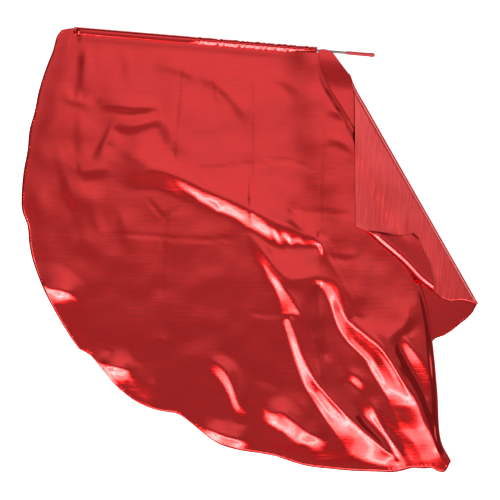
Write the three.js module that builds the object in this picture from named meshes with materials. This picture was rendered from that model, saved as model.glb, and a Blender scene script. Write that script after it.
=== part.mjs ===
// A worship flag of thin metallic cloth on a slim rod, laid out on a flat surface.
// The cloth is one sheet: a rod pocket along the left half of its straight edge, a rounded hem,
// and a right side that is pleated under itself, folded back over the top and turned at its corner.
// Millimetres, +Z up. The surface is z = 0, and the rod lies along the far edge of the cloth.
import * as THREE from "three";

// Driving dimensions
const CLOTH = 1.2;
const ROD_DIAMETER = 6.35;
const ROD_LENGTH = 750;
const GRIP_LENGTH = 73;
const GRIP_FRONT_DIAMETER = 9;
const GRIP_BUTT_DIAMETER = 10.5;
const GRIP_BUTT_LENGTH = 14;
const GRIP_WALL = 3;
const GRIP_DOME_STEPS = 5;
const CLEARANCE = 0.3;
const ROD_TIP = new THREE.Vector2(-434, 557);
const ROD_TURN = THREE.MathUtils.degToRad(-4.78);

// Fold radii, measured to the middle of the cloth
const PLEAT_RADIUS = 2.2;
const PLEAT_RADIUS_AT_ROD = 1.2;
const TURN_RADIUS = 2.5;
const CORNER_RADIUS = 4;

// Levels of the middle of the cloth over the surface
const LOW = CLOTH / 2;
const LEVEL_STEP = 2 * PLEAT_RADIUS;
const POCKET_SEAM_LEVEL = 2.4;
const ROD_LEVEL = GRIP_BUTT_DIAMETER / 2;
const ROD_SLACK = 0.7;
const OVER_ROD = ROD_LEVEL + ROD_DIAMETER / 2 + CLEARANCE + CLOTH / 2 + ROD_SLACK;
const CORNER_REST = 3.6;

// How the levels run into each other, as distances in plan
const RUNS = {
  seam: { from: -11, length: 24 },
  overPleat: { lead: 9, length: 45 },
  foldsBesidePleat: { lead: 4, length: 26 },
  overRod: { reach: 24, length: 14 },
  besidePleat: { reach: 46, length: 40 },
  besideTurn: { length: 22 },
  besideRodEnd: { from: 120, length: 40 },
};

// Grid: shares of the way from the straight edge to the hem, close together beside the rod
const EDGE_ROWS = [0, 0.006, 0.012, 0.02];
const LAST_EDGE_ROW = 0.03;
const OPEN_ROWS = 34;
const openRow = (i) => LAST_EDGE_ROW + ((1 - LAST_EDGE_ROW) * i) / OPEN_ROWS;
const ROW_SHARES = [...EDGE_ROWS, ...Array.from({ length: OPEN_ROWS + 1 }, (_, i) => openRow(i))];
const ROWS = ROW_SHARES.length - 1;
const FOLD_STEPS = 4;

const along = new THREE.Vector2(Math.cos(ROD_TURN), Math.sin(ROD_TURN));
const away = new THREE.Vector2(-along.y, along.x);

// Outlines in plan, as stations along each edge
const EDGES = {
  // From the outer corner beside the rod pocket down the left side of the rounded hem
  leftHem: [
    { x: -479, y: 559 }, { x: -500, y: 508 }, { x: -536, y: 406 }, { x: -563, y: 284 },
    { x: -579, y: 163 }, { x: -579, y: 102 }, { x: -563, y: 55 }, { x: -554, y: -20 },
    { x: -541, y: -61 }, { x: -503, y: -142 }, { x: -455, y: -224 }, { x: -434, y: -251 },
  ],
  // From there along the bottom of the hem to the gathered tip
  bottomHem: [
    { x: -434, y: -251 }, { x: -393, y: -283 }, { x: -358, y: -325 }, { x: -305, y: -376 },
    { x: -254, y: -401 }, { x: -178, y: -417 }, { x: -127, y: -460 }, { x: -76, y: -493 },
    { x: 51, y: -521 }, { x: 152, y: -550 }, { x: 356, y: -564 }, { x: 431, y: -551 },
    { x: 492, y: -561 }, { x: 510, y: -536 },
  ],
  // The straight edge: the free corner at the left, then the seam of the rod pocket
  pocketSeam: [
    { x: -479, y: 559 }, { x: -445, y: 564 }, { x: -430, y: 546 }, { x: -300, y: 535 }, { x: 174, y: 499 },
  ],
  // The pleat's upper fold, from the rod to the gathered tip
  pleatFold: [
    { x: 174, y: 499 }, { x: 188, y: 440 }, { x: 267, y: 305 }, { x: 371, y: 56 }, { x: 442, y: -117 },
    { x: 462, y: -229 }, { x: 474, y: -356 }, { x: 485, y: -485 }, { x: 510, y: -536 },
  ],
  // The pleat's hidden lower fold
  pleatBack: [{ x: 170, y: 497 }, { x: 368, y: -381 }],
  // The free part of the straight edge, from the pleat to the turned side
  freeEdge: [
    { x: 170, y: 497 }, { x: 177, y: 509 }, { x: 206, y: 504 }, { x: 229, y: 480 }, { x: 254, y: 445 },
  ],
  // The turned side, folded back over the top
  turnedSide: [{ x: 254, y: 445 }, { x: 267, y: 412 }, { x: 300, y: 355 }, { x: 579, y: -136 }],
  // The hem of the low layer
  lowHem: [
    { x: 368, y: -381 }, { x: 465, y: -229 }, { x: 500, y: -213 }, { x: 564, y: -163 }, { x: 579, y: -136 },
  ],
  // The straight edge on the turned side
  topEdge: [
    { x: 254, y: 445 }, { x: 262, y: 425 }, { x: 267, y: 399 }, { x: 267, y: 305 }, { x: 267, y: 57 },
  ],
  // The hem on the turned side
  topHem: [
    { x: 579, y: -136 }, { x: 541, y: -127 }, { x: 512, y: -127 }, { x: 486, y: -121 }, { x: 462, y: -107 },
  ],
  // Where the corner is folded up
  cornerFold: [
    { x: 267, y: 57 }, { x: 290, y: 48 }, { x: 330, y: 13 }, { x: 381, y: -30 }, { x: 430, y: -78 },
    { x: 462, y: -107 },
  ],
  // The folded corner's two edges, and its point
  cornerStraight: [
    { x: 267, y: 57 }, { x: 290, y: 50 }, { x: 330, y: 46 }, { x: 378, y: 36 }, { x: 410, y: 43 },
  ],
  cornerHem: [{ x: 462, y: -107 }, { x: 455, y: -43 }, { x: 439, y: -5 }, { x: 425, y: 32 }],
  cornerEnd: [{ x: 410, y: 43 }, { x: 425, y: 32 }],
};

// The main folds of the open cloth: a bent spine in plan, half its width, and its height
const FOLDS = [
  { name: "long diagonal, left", from: [-335, 272], via: [-215, 203], to: [-95, 133], half: 26, rise: 15 },
  { name: "long diagonal, right", from: [-125, 150], via: [20, 80], to: [168, 10], half: 26, rise: 14 },
  { name: "under the diagonal", from: [-180, 140], via: [-100, 98], to: [20, 40], half: 22, rise: 7 },
  { name: "first long ridge", from: [25, -10], via: [135, -320], to: [361, -544], half: 26, rise: 20 },
  { name: "second long ridge", from: [180, -56], via: [305, -275], to: [450, -510], half: 36, rise: 24 },
  { name: "ridge by the edge", from: [343, -241], via: [430, -400], to: [505, -530], half: 18, rise: 10 },
  { name: "short curved ridge", from: [310, -389], via: [335, -468], to: [386, -540], half: 20, rise: 12 },
  { name: "upper arc", from: [-254, 457], via: [-90, 400], to: [0, 315], half: 24, rise: 7 },
  { name: "upper left, first", from: [-300, 388], via: [-250, 382], to: [-200, 365], half: 18, rise: 8 },
  { name: "upper left, second", from: [-240, 322], via: [-165, 330], to: [-130, 270], half: 18, rise: 7 },
  { name: "left upright", from: [-440, 510], via: [-420, 450], to: [-400, 400], half: 20, rise: 7 },
  { name: "left slant", from: [-490, 200], via: [-425, 75], to: [-350, -60], half: 28, rise: 10 },
  { name: "left inner slant", from: [-350, 270], via: [-352, 150], to: [-300, 30], half: 26, rise: 8 },
  { name: "hem wave, left", from: [-520, -90], via: [-485, -98], to: [-450, -110], half: 28, rise: 9 },
  { name: "hem wave, low left", from: [-370, -300], via: [-315, -292], to: [-270, -320], half: 26, rise: 12 },
  { name: "hem wave, bottom", from: [-240, -380], via: [-155, -402], to: [-70, -450], half: 26, rise: 10 },
  { name: "low crease", from: [-36, -290], via: [5, -340], to: [30, -410], half: 20, rise: 9 },
  { name: "low swell", from: [45, -425], via: [110, -455], to: [175, -495], half: 28, rise: 13 },
  { name: "centre sweep", from: [-90, -10], via: [-30, -50], to: [0, -110], half: 30, rise: 9 },
];
const SPINE_STEPS = 10;
const FOLD_FALL = 1.6;
const FOLD_END = 0.14;

// Section of the rod pocket from its seam, over the rod and back under it
const POCKET = [
  { out: -7.5, level: 6.4 }, { out: -4, level: 9.3 }, { out: 0, level: OVER_ROD }, { out: 4, level: 9.3 },
  { out: 7, level: 6.6 }, { out: 8.4, level: 3.8 }, { out: 7, level: 1.4 }, { out: 4, level: LOW },
  { out: -2, level: LOW }, { out: -9, level: LOW }, { out: -15, level: LOW },
];

// Columns of the grid in each part of the cloth, and those that carry the pocket
const COLUMNS = { open: 33, low: 4, turned: 6, corner: 3 };
const POCKET_COLUMNS = { first: 3, last: 31 };

const clamp01 = (t) => Math.min(1, Math.max(0, t));
const ease = (t) => clamp01(t) ** 2 * (3 - 2 * clamp01(t));
const lerp = (a, b, t) => a + (b - a) * t;

// A smooth curve through a row of points, read by its share of the length
function curveThrough(points) {
  const knots = points.map(({ x, y }) => new THREE.Vector3(x, y, 0));
  const curve = new THREE.CatmullRomCurve3(knots, false, "centripetal");
  curve.arcLengthDivisions = 800;
  return (share) => {
    const p = curve.getPointAt(clamp01(share));
    return new THREE.Vector2(p.x, p.y);
  };
}

// The same for a few straight runs, whose corners stay where they are
function runsThrough(points) {
  const path = new THREE.CurvePath();
  const corners = points.map(({ x, y }) => new THREE.Vector2(x, y));
  for (let i = 1; i < corners.length; i++) path.add(new THREE.LineCurve(corners[i - 1], corners[i]));
  return (share) => path.getPointAt(clamp01(share));
}

// A point inside four edges: left and right run down, top and bottom run across
function between(edges, u, v) {
  const { top, bottom, left, right } = edges;
  const across = left(v).multiplyScalar(1 - u).addScaledVector(right(v), u);
  const down = top(u).multiplyScalar(1 - v).addScaledVector(bottom(u), v);
  const corners = top(0).multiplyScalar((1 - u) * (1 - v))
    .addScaledVector(top(1), u * (1 - v))
    .addScaledVector(bottom(0), (1 - u) * v)
    .addScaledVector(bottom(1), u * v);
  return across.add(down).sub(corners);
}

// The nearest place to p on a run of points: its distance, the share of the run, and which side p is
function nearest(p, run) {
  let best = { distance: Infinity, share: 0, side: 1 };
  for (let i = 1; i < run.length; i++) {
    const from = run[i - 1];
    const step = { x: run[i].x - from.x, y: run[i].y - from.y };
    const offset = { x: p.x - from.x, y: p.y - from.y };
    const t = clamp01((offset.x * step.x + offset.y * step.y) / (step.x ** 2 + step.y ** 2));
    const distance = Math.hypot(offset.x - t * step.x, offset.y - t * step.y);
    const side = step.x * offset.y - step.y * offset.x > 0 ? 1 : -1;
    if (distance < best.distance - 1e-9) best = { distance, share: (i - 1 + t) / (run.length - 1), side };
  }
  return best;
}

// Signed distance of p from an edge that runs down the sheet, positive to its right
function rightOf(p, edge) {
  const { distance, side } = nearest(p, edge);
  return distance * side;
}

// How far out from the rod's line p lies, towards the far side
const outFromRod = (p) => p.clone().sub(ROD_TIP).dot(away);

const SPINES = FOLDS.map(({ from, via, to }) => {
  const knots = [from, via, to].map(([x, y]) => new THREE.Vector2(x, y));
  return new THREE.SplineCurve(knots).getPoints(SPINE_STEPS);
});

// Height that the folds of the open cloth add at p: round across, and running out at both ends
function foldsAt(p) {
  return FOLDS.reduce((sum, { half, rise }, i) => {
    const { distance, share } = nearest(p, SPINES[i]);
    const across = Math.exp(-FOLD_FALL * (distance / half) ** 2);
    const fromEnd = Math.min(0.5, FOLD_END + FOLD_FALL * Math.min(share, 1 - share));
    return sum + (across > 0.02 ? rise * across * Math.sin(Math.PI * fromEnd) ** 2 : 0);
  }, 0);
}

// The low layer lies on the surface and climbs over the rod
const overRodShare = (p) => ease((RUNS.overRod.reach - Math.abs(outFromRod(p))) / RUNS.overRod.length);
const lowLayer = (p) => lerp(LOW, OVER_ROD, overRodShare(p));

// The pleat is tighter at the rod
const pleatRadius = (v) => lerp(PLEAT_RADIUS_AT_ROD, PLEAT_RADIUS, ease(v * 8));

// The open cloth lies on the surface, lifted at the pocket's seam and over the pleat, and folded
function openLayer(p, u, v) {
  const overPleat = ease(1 + (rightOf(p, EDGES.pleatBack) + RUNS.overPleat.lead) / RUNS.overPleat.length);
  const atSeam = p.x > ROD_TIP.x ? ease(1 - (RUNS.seam.from - outFromRod(p)) / RUNS.seam.length) : 0;
  const seam = (POCKET_SEAM_LEVEL - LOW) * atSeam * (1 - overPleat);
  const besideFold = -rightOf(p, EDGES.pleatFold) - RUNS.foldsBesidePleat.lead;
  const folds = foldsAt(p) * ease(besideFold / RUNS.foldsBesidePleat.length) * ease(v * 12);
  const overRod = (lowLayer(p) - LOW) * ease((p.x - RUNS.besideRodEnd.from) / RUNS.besideRodEnd.length);
  return LOW + seam + overPleat * (4 * pleatRadius(v) + overRod) + folds;
}

// The turned side lies over the open cloth on its left and over the low layer on its right
function turnedLayer(p) {
  const { reach, length } = RUNS.besidePleat;
  const nearPleat = ease((reach - rightOf(p, EDGES.pleatFold)) / length);
  const nearTurn = ease((-rightOf(p, EDGES.turnedSide) - TURN_RADIUS) / RUNS.besideTurn.length);
  return LOW + 2 * TURN_RADIUS + (3 * LEVEL_STEP - 2 * TURN_RADIUS) * nearPleat * nearTurn;
}

// A column of points down the sheet, from a plan curve and a level for each
const column = (planAt, levelAt) => ROW_SHARES.map((v) => {
  const p = planAt(v);
  return new THREE.Vector3(p.x, p.y, levelAt(p, v));
});

// The direction across a line that runs down the sheet, to its right as the sheet is read
function acrossLine(planAt, v) {
  const step = 0.01;
  const ahead = planAt(Math.min(1, v + step)).sub(planAt(Math.max(0, v - step)));
  return new THREE.Vector2(-ahead.y, ahead.x).normalize();
}

// The columns of a round fold: half a turn from one level to the other, bulging to the given side
function foldColumns(planAt, radiusAt, middleAt, side, turn) {
  const inner = (v) => planAt(v).addScaledVector(acrossLine(planAt, v), -side * radiusAt(v));
  const columns = Array.from({ length: FOLD_STEPS - 1 }, (_, i) => {
    const angle = turn * (Math.PI / 2 - (Math.PI * (i + 1)) / FOLD_STEPS);
    return ROW_SHARES.map((v) => {
      const p = inner(v).addScaledVector(acrossLine(planAt, v), side * radiusAt(v) * Math.cos(angle));
      return new THREE.Vector3(p.x, p.y, middleAt(inner(v), v) + radiusAt(v) * Math.sin(angle));
    });
  });
  return { inner, columns };
}

// The whole sheet as columns from its left hem to the folded corner
function sheetColumns() {
  const pleatFold = curveThrough(EDGES.pleatFold);
  const pleatBack = runsThrough(EDGES.pleatBack);
  const turned = curveThrough(EDGES.turnedSide);
  const corner = curveThrough(EDGES.cornerFold);
  const pleat = foldColumns(pleatFold, pleatRadius, (p, v) => lowLayer(p) + 3 * pleatRadius(v), 1, 1);
  const back = foldColumns(pleatBack, pleatRadius, (p, v) => lowLayer(p) + pleatRadius(v), -1, 1);
  const turn = foldColumns(turned, () => TURN_RADIUS, () => LOW + TURN_RADIUS, 1, -1);
  const cornerMiddle = (p) => turnedLayer(p) + CORNER_RADIUS;
  const cornerTurn = foldColumns(corner, () => CORNER_RADIUS, cornerMiddle, -1, -1);

  const open = {
    top: runsThrough(EDGES.pocketSeam), bottom: curveThrough(EDGES.bottomHem),
    left: curveThrough(EDGES.leftHem), right: pleat.inner,
  };
  const low = {
    top: curveThrough(EDGES.freeEdge), bottom: curveThrough(EDGES.lowHem),
    left: back.inner, right: turn.inner,
  };
  const flap = {
    top: curveThrough(EDGES.topEdge), bottom: curveThrough(EDGES.topHem),
    left: turn.inner, right: cornerTurn.inner,
  };
  const point = {
    top: curveThrough(EDGES.cornerStraight), bottom: curveThrough(EDGES.cornerHem),
    left: cornerTurn.inner, right: runsThrough(EDGES.cornerEnd),
  };
  const columns = [];
  const addPatch = (edges, count, levelAt) => {
    for (let i = 0; i <= count; i++) {
      const u = i / count;
      columns.push(column((v) => between(edges, u, v), (p, v) => levelAt(p, u, v)));
    }
  };
  addPatch(open, COLUMNS.open, openLayer);
  const lastOpen = columns.length - 1;
  columns.push(...pleat.columns);
  const under = (p, v) => lowLayer(p) + 2 * pleatRadius(v);
  columns.push(column(pleat.inner, under));
  columns.push(column(back.inner, under));
  columns.push(...back.columns);
  addPatch(low, COLUMNS.low, lowLayer);
  columns.push(...turn.columns);
  addPatch(flap, COLUMNS.turned, turnedLayer);
  columns.push(...cornerTurn.columns);
  const cornerDrop = (p, u) => turnedLayer(p) + lerp(2 * CORNER_RADIUS, CORNER_REST, ease(u * 1.5));
  addPatch(point, COLUMNS.corner, cornerDrop);
  return { columns, lastOpen };
}

// The faces of the middle of the cloth: a grid of columns, and the rod pocket past its first row
function middleOfCloth() {
  const { columns, lastOpen } = sheetColumns();
  const points = columns.flat();
  const quads = [];
  const at = (c, r) => c * (ROWS + 1) + r;
  for (let c = 0; c + 1 < columns.length; c++) {
    for (let r = 0; r < ROWS; r++) quads.push([at(c, r), at(c, r + 1), at(c + 1, r + 1), at(c + 1, r)]);
  }
  let before = null;
  for (let c = POCKET_COLUMNS.first; c <= Math.min(POCKET_COLUMNS.last, lastOpen); c++) {
    const seam = columns[c][0];
    const station = new THREE.Vector2(seam.x, seam.y).sub(ROD_TIP).dot(along);
    const ring = [at(c, 0)];
    for (const { out, level } of POCKET) {
      const p = ROD_TIP.clone().addScaledVector(along, station).addScaledVector(away, out);
      ring.push(points.push(new THREE.Vector3(p.x, p.y, level)) - 1);
    }
    for (let i = 0; before && i + 1 < ring.length; i++) {
      quads.push([before[i], ring[i], ring[i + 1], before[i + 1]]);
    }
    before = ring;
  }
  return { points, quads };
}

// A closed solid of the cloth's thickness on both sides of its middle
function thicken({ points, quads }, thickness) {
  const normals = points.map(() => new THREE.Vector3());
  const triangles = quads.flatMap(([a, b, c, d]) => [[a, b, c], [a, c, d]]);
  for (const [a, b, c] of triangles) {
    const face = points[b].clone().sub(points[a]).cross(points[c].clone().sub(points[a]));
    for (const i of [a, b, c]) normals[i].add(face);
  }
  normals.forEach((n) => n.normalize());
  const count = points.length;
  const positions = new Float32Array(count * 6);
  points.forEach((p, i) => {
    p.clone().addScaledVector(normals[i], thickness / 2).toArray(positions, i * 3);
    p.clone().addScaledVector(normals[i], -thickness / 2).toArray(positions, (i + count) * 3);
  });
  const index = [];
  const uses = new Map();
  for (const [a, b, c] of triangles) {
    index.push(a, b, c, a + count, c + count, b + count);
    for (const [p, q] of [[a, b], [b, c], [c, a]]) {
      const back = `${q},${p}`;
      if (uses.has(back)) uses.delete(back);
      else uses.set(`${p},${q}`, [p, q]);
    }
  }
  for (const [p, q] of uses.values()) index.push(p, p + count, q, q, p + count, q + count);
  const geometry = new THREE.BufferGeometry();
  geometry.setAttribute("position", new THREE.BufferAttribute(positions, 3));
  geometry.setIndex(index);
  geometry.computeVertexNormals();
  return geometry;
}

function clothMesh() {
  const material = new THREE.MeshStandardMaterial({ color: 0xc0282c, roughness: 0.35, metalness: 0.6 });
  const mesh = new THREE.Mesh(thicken(middleOfCloth(), CLOTH), material);
  mesh.name = "flag_cloth";
  return mesh;
}

// Turned parts are made along +Y and laid along the rod's line, with a flat of the facets below
function layOnRodLine(mesh, start) {
  mesh.rotation.set(0, 0, ROD_TURN - Math.PI / 2);
  const p = ROD_TIP.clone().addScaledVector(along, start);
  mesh.position.set(p.x, p.y, ROD_LEVEL);
  return mesh;
}

function rodMesh() {
  const facets = 20;
  const radius = ROD_DIAMETER / 2;
  const turn = Math.PI / facets;
  const geometry = new THREE.CylinderGeometry(radius, radius, ROD_LENGTH, facets, 1, false, turn);
  geometry.translate(0, ROD_LENGTH / 2, 0);
  const material = new THREE.MeshStandardMaterial({ color: 0x9a9c9c, roughness: 0.35, metalness: 0.8 });
  const mesh = new THREE.Mesh(geometry, material);
  mesh.name = "rod";
  return layOnRodLine(mesh, 0);
}

// A dipped sleeve, closed and rounded at the butt, with the rod's end inside it
function gripMesh() {
  const facets = 24;
  const front = GRIP_FRONT_DIAMETER / 2;
  const butt = GRIP_BUTT_DIAMETER / 2;
  const bore = ROD_DIAMETER / 2 + CLEARANCE;
  const profile = [new THREE.Vector2(0, GRIP_LENGTH)];
  for (let i = 1; i <= GRIP_DOME_STEPS; i++) {
    const angle = (Math.PI / 2) * (i / GRIP_DOME_STEPS);
    const back = 0.7 * butt * (1 - Math.cos(angle));
    profile.push(new THREE.Vector2(butt * Math.sin(angle), GRIP_LENGTH - back));
  }
  const stations = [
    { radius: butt, at: GRIP_LENGTH - GRIP_BUTT_LENGTH + 2 },
    { radius: butt - 0.45, at: GRIP_LENGTH - GRIP_BUTT_LENGTH },
    { radius: front, at: 0.8 },
    { radius: front - 0.5, at: 0 },
    { radius: bore, at: 0 },
    { radius: bore, at: GRIP_LENGTH - GRIP_WALL },
    { radius: 0, at: GRIP_LENGTH - GRIP_WALL },
  ];
  for (const { radius, at } of stations) profile.push(new THREE.Vector2(radius, at));
  const geometry = new THREE.LatheGeometry(profile.reverse(), facets, Math.PI / facets);
  const material = new THREE.MeshStandardMaterial({ color: 0xc8343c, roughness: 0.45, metalness: 0 });
  const mesh = new THREE.Mesh(geometry, material);
  mesh.name = "grip";
  return layOnRodLine(mesh, ROD_LENGTH + GRIP_WALL + CLEARANCE - GRIP_LENGTH);
}

const flag = new THREE.Group();
flag.name = "worship_flag";
flag.add(clothMesh(), rodMesh(), gripMesh());

// The origin is on the surface, under the middle of the whole flag
const middle = new THREE.Box3().setFromObject(flag, true).getCenter(new THREE.Vector3());
flag.position.set(-middle.x, -middle.y, 0);

export default flag;
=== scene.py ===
# %% [markdown]
# # A red worship flag, laid out flat
#
# The real thing is a large piece of thin metallic cloth, cut as a rounded D. The left half of its
# straight edge is sewn round a slim rod, and the rest of it lies as it fell: one pleat tucked under,
# the right side folded back over the top, and the corner of that side turned up again.
# The cloth is all one sheet, so it is worked out here as one grid that runs through every fold.

# %% Load the frame
from math import pi, radians

import bpy
import numpy as np
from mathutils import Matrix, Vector


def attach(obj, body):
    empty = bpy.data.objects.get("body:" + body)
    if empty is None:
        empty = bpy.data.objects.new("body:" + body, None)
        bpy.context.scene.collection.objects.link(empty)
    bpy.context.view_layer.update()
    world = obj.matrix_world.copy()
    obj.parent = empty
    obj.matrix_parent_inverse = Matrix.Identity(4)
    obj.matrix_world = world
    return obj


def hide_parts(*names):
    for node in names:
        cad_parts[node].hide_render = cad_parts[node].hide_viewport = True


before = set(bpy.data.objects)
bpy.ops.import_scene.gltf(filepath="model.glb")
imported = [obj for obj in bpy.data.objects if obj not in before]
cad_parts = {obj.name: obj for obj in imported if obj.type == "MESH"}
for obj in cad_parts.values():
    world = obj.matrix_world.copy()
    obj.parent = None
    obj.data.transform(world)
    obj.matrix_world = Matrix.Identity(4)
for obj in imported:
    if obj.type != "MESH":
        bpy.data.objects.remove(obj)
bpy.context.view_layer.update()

# %% [markdown]
# ## Places on the flag
#
# Every edge and fold is written down as places on a square plan: 500 units a side, x to the right
# and y down, seen from straight above. One unit is 2.54 mm, so the whole plan is 1.27 m wide.
# Plain lists of places would be jagged, so each list becomes a smooth curve through its places.

# %% Plan units and smooth curves
UNIT = 0.00254  # metres
SIDE = 500  # units
SHIFT = np.array([0.0006, 0.0001])  # metres, so that the origin is under the middle of the flag
EDGE_POINTS = 400
SPAN_POINTS = 24  # points worked out between two places of a list


def plan(points):
    """Metres from plan units: (x − half a side)·UNIT and (half a side − y)·UNIT, moved by SHIFT."""
    p = np.asarray(points, float)
    return np.stack([(p[..., 0] - SIDE / 2) * UNIT, (SIDE / 2 - p[..., 1]) * UNIT], -1) + SHIFT


def ease(t):
    """A soft step: 0 below 0, 1 above 1, and 3t² − 2t³ in between."""
    t = np.clip(t, 0, 1)
    return t * t * (3 - 2 * t)


def resample(path, shares):
    """The places on a run of points at given shares of its length."""
    step = np.r_[0, np.cumsum(np.hypot(*np.diff(path[:, :2], axis=0).T))]
    return np.stack([np.interp(np.asarray(shares) * step[-1], step, column) for column in path.T], -1)


def smooth(points, count=EDGE_POINTS):
    """A centripetal Catmull-Rom curve: knots at √length, each span blended from its four knots' lines."""
    p = np.asarray(points, float)
    if len(p) == 2:
        return resample(p, np.linspace(0, 1, count))
    p = np.vstack([2 * p[0] - p[1], p, 2 * p[-1] - p[-2]])
    knot = np.r_[0, np.cumsum(np.hypot(*np.diff(p[:, :2], axis=0).T) ** 0.5)]
    spans = zip(knot[1:-2], knot[2:-1])
    t = np.concatenate([np.linspace(a, b, SPAN_POINTS, endpoint=False) for a, b in spans])
    t = np.r_[t, knot[-2]]
    i = np.clip(np.searchsorted(knot, t, "right") - 1, 1, len(knot) - 3)

    def mix(a, b, ta, tb):
        """(tb − t)/(tb − ta)·a + (t − ta)/(tb − ta)·b"""
        return ((tb - t) / (tb - ta))[:, None] * a + ((t - ta) / (tb - ta))[:, None] * b

    k = [knot[i + j] for j in (-1, 0, 1, 2)]
    a = [mix(p[i + j - 1], p[i + j], k[j], k[j + 1]) for j in range(3)]
    b = [mix(a[0], a[1], k[0], k[2]), mix(a[1], a[2], k[1], k[3])]
    return resample(mix(b[0], b[1], k[1], k[2]), np.linspace(0, 1, count))


def nearest(p, line):
    """Distance from each place to a run of points, positive on its left, and the share of the run.

    A place on the run itself counts as on its left: the 1e-12 sees to that.
    """
    best = np.full(p.shape[:-1], np.inf)
    side = np.ones_like(best)
    share = np.zeros_like(best)
    for i in range(len(line) - 1):
        a, d = line[i], line[i + 1] - line[i]
        o = p - a
        t = np.clip((o @ d) / (d @ d), 0, 1)
        far = np.hypot(*(o - t[..., None] * d).transpose((-1, *range(p.ndim - 1))))
        near = far < best
        best = np.where(near, far, best)
        side = np.where(near, np.sign(d[0] * o[..., 1] - d[1] * o[..., 0] + 1e-12), side)
        share = np.where(near, (i + t) / (len(line) - 1), share)
    return best * side, share


print("plan", SIDE, "units a side,", SIDE * UNIT, "m")

# %% [markdown]
# ## The outline and the fold lines
#
# These are the edges of the sheet as it lies, and the lines where it turns back on itself. The hem
# is not a clean arc: it wanders in and out where the cloth rides up in small waves.

# %% Edges of the sheet
EDGES = {
    "left hem": [(61.5, 30), (57, 36), (53, 50), (46, 68), (39, 90), (34.5, 112), (29.5, 130), (27.5, 150),
        (23.5, 172), (21.5, 195), (22, 210), (27.5, 226), (29, 242), (32, 258), (37, 273), (44, 290),
        (52, 306), (61, 322), (71, 338), (79, 349)],
    "bottom hem": [(79, 349), (90, 355), (96, 361.5), (109, 378), (119, 388.5), (137, 402), (157, 410),
        (178, 414), (190, 422), (206, 435), (220, 444), (240, 450), (260, 453), (276, 456), (292, 461.5),
        (309, 466), (330, 468.5), (352, 470.5), (380, 471.5), (392, 472), (402, 470.5), (413, 467.5),
        (424, 468), (432, 467.5), (438, 470.5), (445, 471), (451, 461)],
    "seam": [(61.5, 30), (68, 28.5), (74.6, 28), (75.6, 33.2), (120, 37.2), (200, 44.3), (260, 49.6),
        (318, 54)],
    "pleat fold": [(318, 53), (324, 77), (355, 130), (396, 228), (424, 296), (432, 340), (437, 390),
        (441, 441), (451, 461)],
    "pleat back": [(317, 54), (395, 400)],
    "free edge": [(317, 54), (320, 49.6), (331, 51.8), (340, 62), (350, 74)],
    "turned side": [(350, 74), (355, 87), (368, 110), (478, 303.5)],
    "low hem": [(395, 400), (433, 340), (447, 334), (460, 324), (472, 314), (478, 303.5)],
    "top edge": [(350, 74), (352.6, 82), (354.6, 93), (355, 130), (354.8, 180), (355.2, 227.5)],
    "top hem": [(478, 303.5), (463, 300), (450, 301), (441, 298.5), (432, 292)],
    "corner fold": [(355.2, 227.5), (364, 231), (380, 245), (400, 262), (419, 282), (432, 292)],
    "corner straight": [(355.2, 227.5), (364, 230.6), (380, 232), (399, 236), (413, 233)],
    "corner hem": [(432, 292), (429, 267), (423, 252), (417.5, 237.5)],
    "corner end": [(413, 233), (417.5, 237.5)],
}
EDGE = {name: smooth(plan(points)) for name, points in EDGES.items()}
for name in ("seam", "pleat back", "corner end"):
    EDGE[name] = resample(plan(EDGES[name]), np.linspace(0, 1, EDGE_POINTS))  # these have real corners

ROD_TIP = np.array([-0.434, 0.557]) + SHIFT  # its end inside the pocket
ROD_TURN = radians(-4.78)
ALONG = np.array([np.cos(ROD_TURN), np.sin(ROD_TURN)])
AWAY = np.array([-ALONG[1], ALONG[0]])

# %% [markdown]
# ## Folds of the open cloth
#
# Metallic cloth folds like a taut skin: between a crest and its foot it is nearly flat, so the shape
# is all in the lines where it bends. A table gives those lines, with a height at each place. The
# skin is then stretched over them: every point settles to the mean of its neighbours and is drawn
# softly back to the flat, and the points on a line are held at its height.

# %% Table of fold lines: x and y in plan units, relative height
FOLDS = {}
FOLDS["start of the diagonal"] = [
    [(108, 146, 0.3), (122, 150.5, 3.2), (136, 158, 6.6), (150, 166, 10)],
    [(123, 187, 0.3), (133, 180, 3.6), (143, 174, 8), (153, 169, 12)],
    [(124, 190, 0.3), (136, 190.5, 0.5), (150, 189, 0.5), (164, 191, 1)],
]
FOLDS["long diagonal"] = [
    [(153, 169, 12), (165, 171, 13), (172, 174, 13.5), (186, 180.5, 15), (200, 187, 16), (220, 197, 17.5),
     (240, 206, 19.5), (260, 215, 21.5), (280, 224, 20), (300, 232, 15), (319, 244, 8)],
    [(171, 176, 12.6), (180, 183, 10.8), (190, 187.5, 11.2), (206, 194.5, 12.8), (220, 201, 13.6),
     (240, 210, 15.2), (260, 219.5, 17.5), (270, 226, 18), (282, 231.5, 16), (300, 239, 11), (312, 243, 7)],
    [(171, 178.5, 11), (180, 188, 6.5), (192, 195.5, 3.5), (203, 203, 2.5), (220, 212, 2), (235, 219.5, 2),
     (247, 227.5, 2.5), (260, 234, 3), (272, 243, 3.5)],
    [(164, 192, 1), (176, 197, 1), (190, 203, 1), (206, 209, 1), (225, 218, 1), (247, 231, 1), (262, 239, 1.5),
     (276, 248, 2)],
    [(176, 169, 10), (190, 176, 12), (206, 184, 13.5), (225, 192.5, 15.5), (250, 203, 18)],
    [(176, 162, 4), (192, 169, 5.5), (208, 177.5, 7.5), (227, 186, 9.5), (250, 196, 12)],
]
FOLDS["facets of the diagonal"] = [
    [(205, 194, 13), (202, 198.5, 7.4), (200, 201, 3.5)],
    [(222, 202, 13.6), (219, 208, 7.2), (217, 211, 2)],
    [(247, 213, 16), (246.5, 220, 8.6), (246, 227, 2.5)],
    [(251, 215, 16.6), (250, 222, 10), (249, 228.5, 2.5)],
]
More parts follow.
